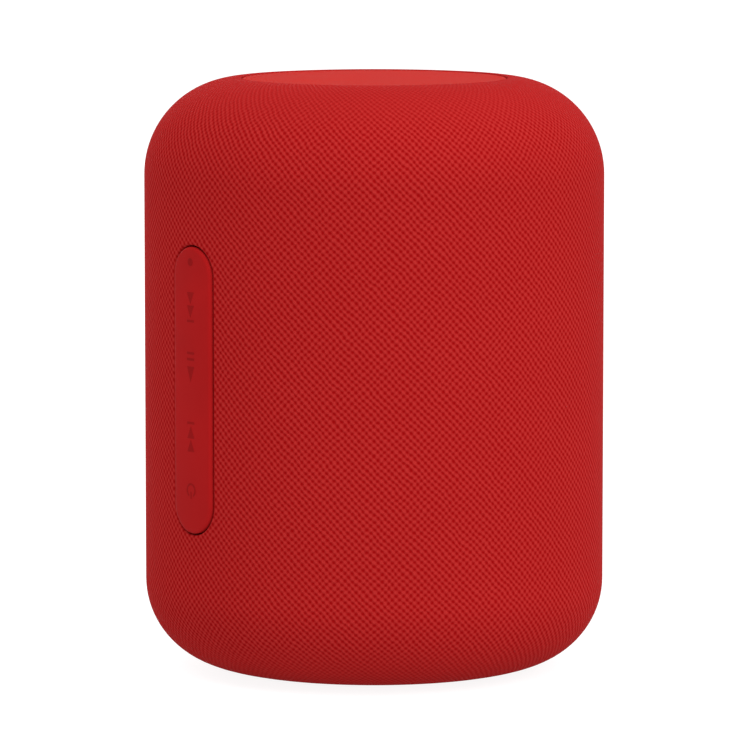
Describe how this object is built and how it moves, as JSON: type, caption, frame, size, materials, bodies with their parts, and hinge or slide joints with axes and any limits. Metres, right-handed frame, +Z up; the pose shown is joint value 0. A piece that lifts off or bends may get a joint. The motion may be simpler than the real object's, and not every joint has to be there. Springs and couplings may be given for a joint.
{
  "type": "portable wireless speaker",
  "caption": "Cloth-covered upright cylinder speaker with rounded ends, a raised button strip, a down-firing driver and an up-facing passive radiator.",
  "frame": {"origin": "centre of the rubber foot's resting plane, on the body's axis", "axes": "+Z up along the body's axis; the front faces -Y; the button strip is 50.8 degrees from the front towards -X; the sockets face +Y"},
  "size_m": [0.105, 0.105, 0.1355],
  "materials": {
    "fabric": "tight red mesh knit, slight sheen",
    "top_plate": "satin red soft-touch",
    "strip": "satin red silicone",
    "base": "fine moulded texture, dark red",
    "foot": "matt dark red rubber",
    "black_abs": "moulded black plastic",
    "screw": "black-coated steel",
    "foam": "closed-cell foam",
    "light_pipe": "clear diffusing plastic",
    "led": "moulded lamp",
    "circuit_board": "green solder resist",
    "switch": "stamped switch can",
    "ribbon": "amber polyimide film",
    "socket_metal": "stamped tinned steel",
    "socket_black": "moulded black nylon",
    "chip": "black epoxy",
    "capacitor": "drawn can",
    "connector": "natural nylon",
    "driver_steel": "zinc-plated steel",
    "magnet": "sintered ferrite",
    "coil": "enamelled copper winding",
    "cone": "pressed black paper pulp",
    "surround": "soft black butyl rubber",
    "spider": "resin-set cloth",
    "cell": "heat-shrink sleeve"
  },
  "bodies": {
    "housing": {"fabric_sleeve": "fabric", "top_plate": "top_plate", "top_cap": "black_abs", "top_cap_screws": "screw", "upper_shell": "black_abs", "lower_shell": "black_abs", "base_plate": "base", "base_screws": "screw", "foot_ring": "foot", "deflector": "black_abs", "deflector_screws": "screw", "enclosure_tub": "black_abs", "lid_seal": "foam", "enclosure_lid": "black_abs", "radiator_guard": "black_abs", "lid_screws": "screw", "key_frame": "black_abs", "strip_end": "strip", "light_pipe": "light_pipe", "status_light": "led", "key_board": "circuit_board", "key_switches": "switch", "key_board_screws": "screw", "key_ribbon": "ribbon", "socket_panel": "base", "usb_socket": "socket_metal", "aux_socket": "socket_black", "main_board": "circuit_board", "main_board_screws": "screw", "radio_shield": "socket_metal", "board_chips": "chip", "capacitors": "capacitor", "cable_connectors": "connector", "driver_gasket": "foam", "driver_frame": "driver_steel", "driver_screws": "screw", "driver_washer": "driver_steel", "driver_magnet": "magnet", "driver_yoke": "driver_steel", "driver_surround": "surround", "driver_spider": "spider", "radiator_frame": "black_abs", "radiator_screws": "screw", "radiator_surround": "surround", "battery_cells": "cell", "battery_tray": "black_abs", "battery_clamps": "black_abs", "battery_screws": "screw"},
    "key_previous": {"key_previous": "strip", "switch_button_previous": "chip"},
    "key_play": {"key_play": "strip", "switch_button_play": "chip"},
    "key_next": {"key_next": "strip", "switch_button_next": "chip"},
    "key_power": {"key_power": "strip", "switch_button_power": "chip"},
    "driver_cone": {"driver_cone": "cone", "dust_cap": "cone", "voice_coil": "coil"},
    "radiator": {"radiator_plate": "driver_steel"}
  },
  "joints": [
    {"name": "previous_press", "type": "slide", "parent": "housing", "child": "key_previous", "axis": [0.7749, 0.632, 0], "range_m": [0, 0.0005], "stiffness_N_per_m": 1000},
    {"name": "play_press", "type": "slide", "parent": "housing", "child": "key_play", "axis": [0.7749, 0.632, 0], "range_m": [0, 0.0005], "stiffness_N_per_m": 1000},
    {"name": "next_press", "type": "slide", "parent": "housing", "child": "key_next", "axis": [0.7749, 0.632, 0], "range_m": [0, 0.0005], "stiffness_N_per_m": 1000},
    {"name": "power_press", "type": "slide", "parent": "housing", "child": "key_power", "axis": [0.7749, 0.632, 0], "range_m": [0, 0.0005], "stiffness_N_per_m": 1000},
    {"name": "cone_travel", "type": "slide", "parent": "housing", "child": "driver_cone", "axis": [0, 0, 1], "range_m": [-0.0025, 0.0025], "stiffness_N_per_m": 2000, "deforming": ["driver_surround", "driver_spider"]},
    {"name": "radiator_travel", "type": "slide", "parent": "housing", "child": "radiator", "axis": [0, 0, 1], "range_m": [-0.003, 0.003], "stiffness_N_per_m": 1200, "deforming": ["radiator_surround"]}
  ]
}
